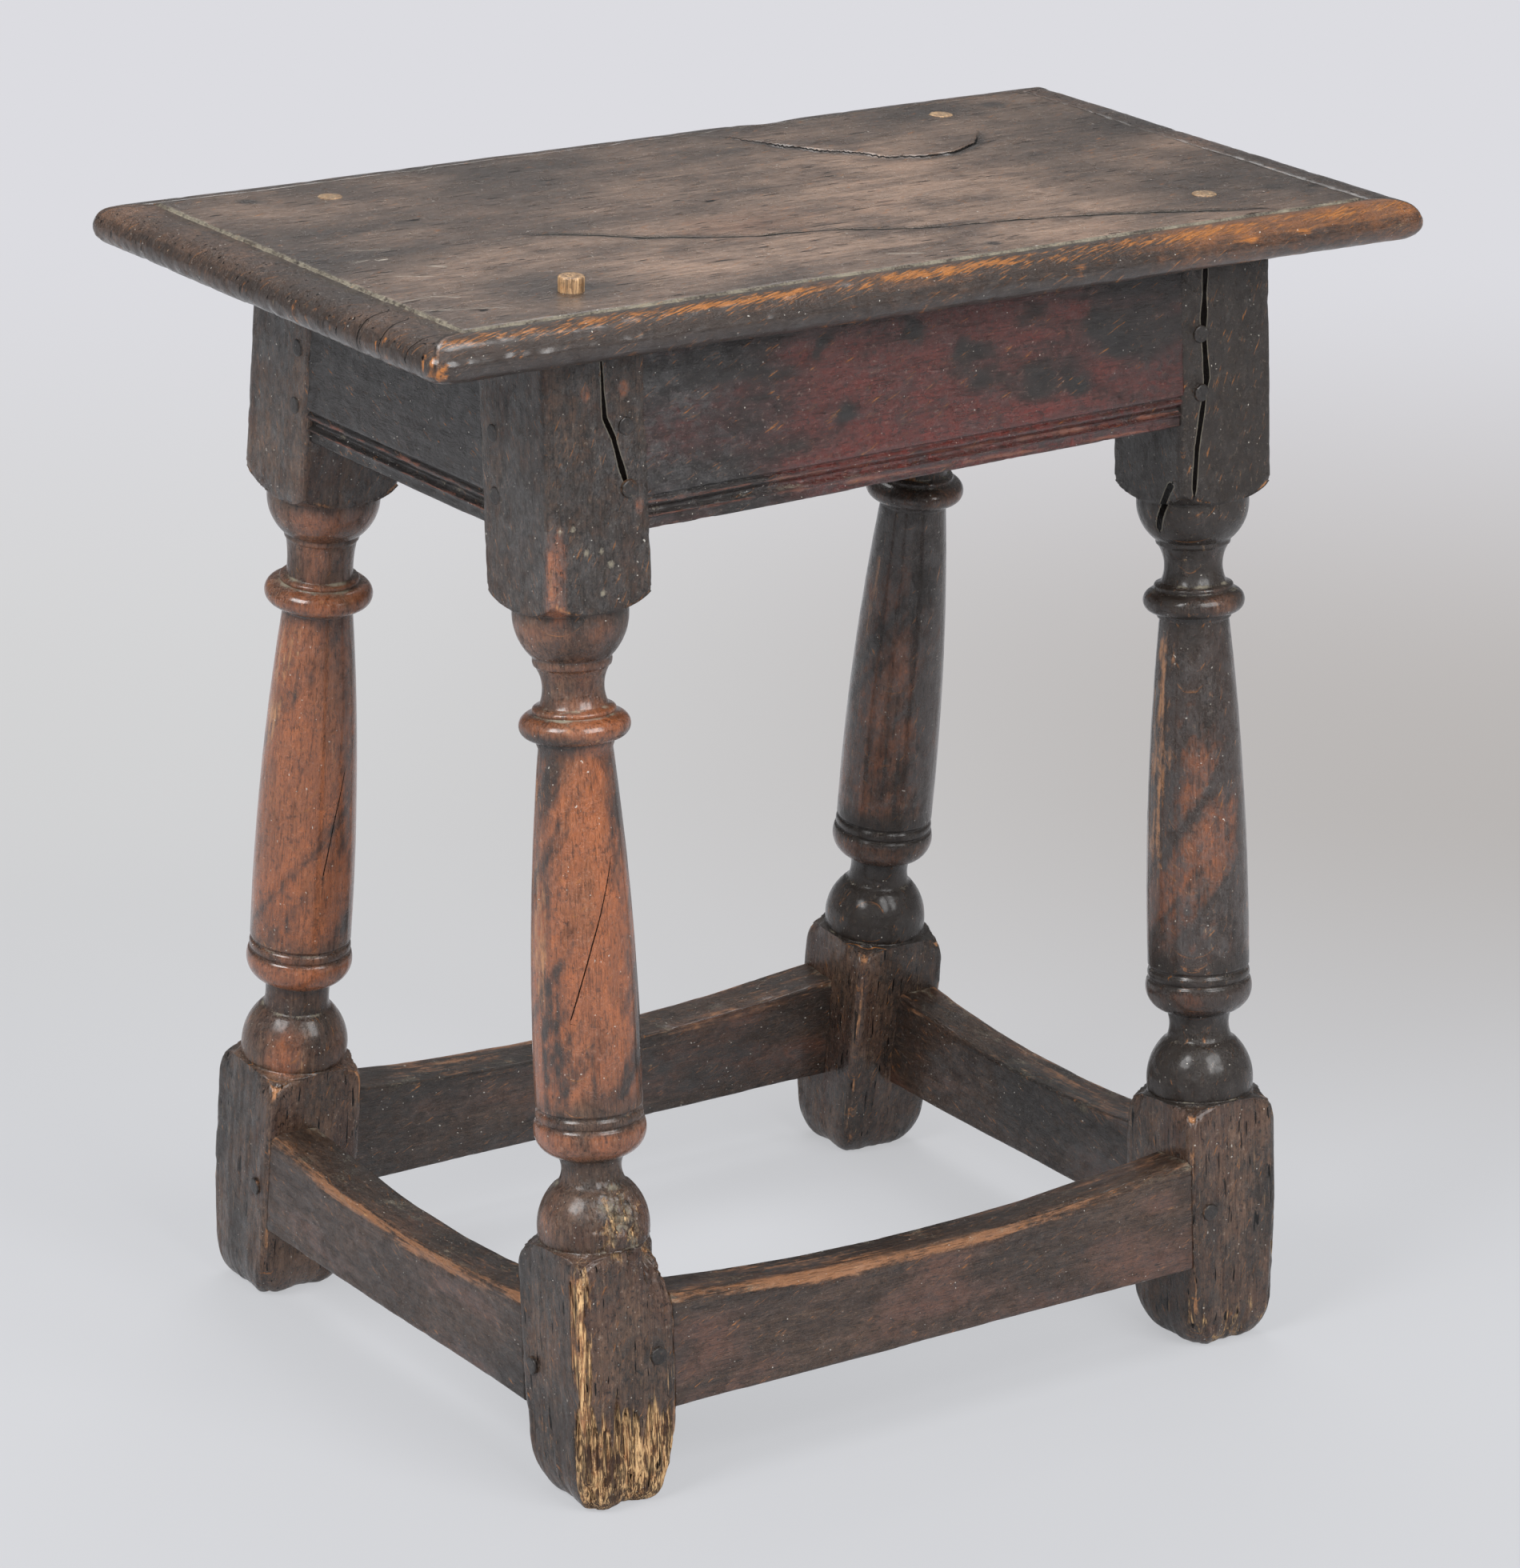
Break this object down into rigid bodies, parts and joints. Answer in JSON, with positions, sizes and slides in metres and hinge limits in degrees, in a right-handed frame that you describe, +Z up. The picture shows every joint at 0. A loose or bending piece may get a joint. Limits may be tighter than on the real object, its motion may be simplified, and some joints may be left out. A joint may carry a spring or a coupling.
{
  "type": "joint stool",
  "caption": "Joined oak stool: oblong seat board with a thumb-moulded edge, raked turned legs, moulded rails and plain stretchers, all mortised, tenoned and pegged.",
  "frame": {"origin": "on the floor, under the middle of the seat board and of the four legs", "axes": "+X along the stool towards its right end, +Y across it from the front to the back, +Z up"},
  "size_m": [0.516, 0.3242, 0.5265],
  "materials": {
    "seat_oak": "worn, dusty wax polish over dark greyish brown oak",
    "leg_oak": "dark reddish brown polish, worn to golden wood on the arrises",
    "rail_oak": "very dark polish with grey and red-brown wear",
    "stretcher_oak": "dry grey-brown oak, golden on the outer top arrises",
    "peg_oak": "dark end grain",
    "seat_peg_oak": "bare split oak with a dark top"
  },
  "bodies": {
    "root": {"leg_back_left": "leg_oak", "leg_back_right": "leg_oak", "leg_front_left": "leg_oak", "leg_front_right": "leg_oak", "peg_rail_back_left_lower": "peg_oak", "peg_rail_back_left_upper": "peg_oak", "peg_rail_back_right_lower": "peg_oak", "peg_rail_back_right_upper": "peg_oak", "peg_rail_front_left_lower": "peg_oak", "peg_rail_front_left_upper": "peg_oak", "peg_rail_front_right_lower": "peg_oak", "peg_rail_front_right_upper": "peg_oak", "peg_rail_left_back_lower": "peg_oak", "peg_rail_left_back_upper": "peg_oak", "peg_rail_left_front_lower": "peg_oak", "peg_rail_left_front_upper": "peg_oak", "peg_rail_right_back_lower": "peg_oak", "peg_rail_right_back_upper": "peg_oak", "peg_rail_right_front_lower": "peg_oak", "peg_rail_right_front_upper": "peg_oak", "peg_stretcher_back_left_middle": "peg_oak", "peg_stretcher_back_right_middle": "peg_oak", "peg_stretcher_front_left_middle": "peg_oak", "peg_stretcher_front_right_middle": "peg_oak", "peg_stretcher_left_back_middle": "peg_oak", "peg_stretcher_left_front_middle": "peg_oak", "peg_stretcher_right_back_middle": "peg_oak", "peg_stretcher_right_front_middle": "peg_oak", "rail_back": "rail_oak", "rail_front": "rail_oak", "rail_left": "rail_oak", "rail_right": "rail_oak", "seat_board": "seat_oak", "seat_peg_back_left": "seat_peg_oak", "seat_peg_back_right": "seat_peg_oak", "seat_peg_front_left": "seat_peg_oak", "seat_peg_front_right": "seat_peg_oak", "stretcher_back": "stretcher_oak", "stretcher_front": "stretcher_oak", "stretcher_left": "stretcher_oak", "stretcher_right": "stretcher_oak"}
  },
  "joints": []
}
